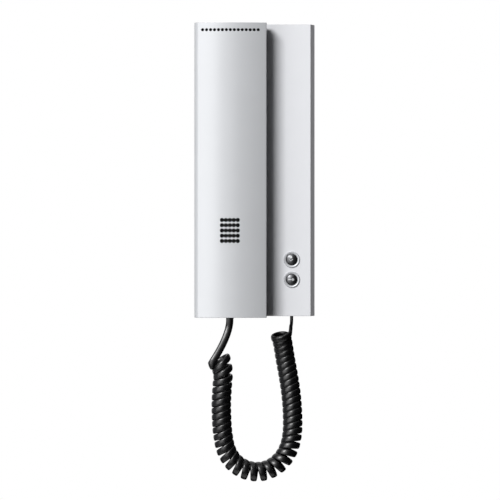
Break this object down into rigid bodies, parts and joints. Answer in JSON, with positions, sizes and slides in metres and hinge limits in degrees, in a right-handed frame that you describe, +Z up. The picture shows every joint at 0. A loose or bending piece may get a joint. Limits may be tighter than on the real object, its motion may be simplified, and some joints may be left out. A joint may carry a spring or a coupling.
{
  "type": "wall intercom phone",
  "caption": "Wall intercom phone with a lift-off curved handset, round push buttons, a hook switch and a hanging curly cord.",
  "frame": {"origin": "on the wall plane, midway between the two wall screws, at the middle of the base", "axes": "+Z up the wall, +Y into the wall, +X to the right as seen from the front; the handset faces -Y"},
  "size_m": [0.0888, 0.047, 0.3377],
  "materials": {
    "handset_silver": "satin silver paint on moulded plastic",
    "base_silver": "satin light silver paint on moulded plastic",
    "plate_plastic": "plain dark grey moulding",
    "zinc_steel": "zinc plated steel",
    "board_green": "green solder mask",
    "terminal_green": "moulded terminal housing",
    "winding_yellow": "insulating tape and wire insulation",
    "sleeve_blue": "shrink sleeve",
    "inner_black": "black moulding",
    "ring_silver": "satin plated ring",
    "cap_chrome": "dark polished cap",
    "grey_rubber": "soft moulded rubber",
    "plug_black": "smoked plug moulding",
    "capsule_metal": "drawn metal can",
    "screen_black": "fine black wire screen",
    "lead_red": "wire insulation",
    "lead_blue": "wire insulation",
    "cord_black": "satin black cord jacket"
  },
  "bodies": {
    "base": {"wall_plate": "plate_plastic", "base_cover": "base_silver", "cover_screw": "zinc_steel", "circuit_board": "board_green", "board_screws": "zinc_steel", "terminal_block": "terminal_green", "terminal_screws": "zinc_steel", "line_transformer": "winding_yellow", "smoothing_capacitor": "sleeve_blue", "control_chip": "inner_black", "hook_switch": "inner_black", "hook_spring": "zinc_steel", "door_bezel": "ring_silver", "light_bezel": "ring_silver", "door_dome": "grey_rubber", "light_dome": "grey_rubber", "base_socket": "inner_black", "base_plug": "plug_black", "handset_tail": "cord_black", "curly_cord": "cord_black", "base_tail": "cord_black"},
    "handset": {"handset_front_shell": "handset_silver", "handset_rear_shell": "handset_silver", "handset_screws": "zinc_steel", "earpiece": "capsule_metal", "earpiece_gasket": "grey_rubber", "microphone": "capsule_metal", "microphone_boot": "grey_rubber", "tone_speaker": "capsule_metal", "speaker_screen": "screen_black", "vent_screen": "screen_black", "ballast_weight": "zinc_steel", "handset_socket": "inner_black", "handset_plug": "plug_black", "earpiece_leads": "lead_red", "microphone_leads": "lead_blue", "speaker_leads": "winding_yellow"},
    "plunger": {"hook_plunger": "base_silver"},
    "door_push": {"door_button": "cap_chrome"},
    "light_push": {"light_button": "cap_chrome"}
  },
  "joints": [
    {"name": "handset_lift", "type": "slide", "parent": "base", "child": "handset", "axis": [0, -0.8192, 0.5736], "range_m": [0, 0.075], "deforming": ["curly_cord", "handset_tail", "base_tail"]},
    {"name": "hook_rise", "type": "slide", "parent": "base", "child": "plunger", "axis": [0, -1, 0], "range_m": [0, 0.003], "deforming": ["hook_spring"]},
    {"name": "door_press", "type": "slide", "parent": "base", "child": "door_push", "axis": [0, 1, 0], "range_m": [0, 0.0012], "stiffness_N_per_m": 800, "springref_m": -0.001, "deforming": ["door_dome"]},
    {"name": "light_press", "type": "slide", "parent": "base", "child": "light_push", "axis": [0, 1, 0], "range_m": [0, 0.0012], "stiffness_N_per_m": 800, "springref_m": -0.001, "deforming": ["light_dome"]}
  ],
  "couplings": [
    {"joint": "hook_rise", "follows": "handset_lift", "ratio": 0.04}
  ]
}
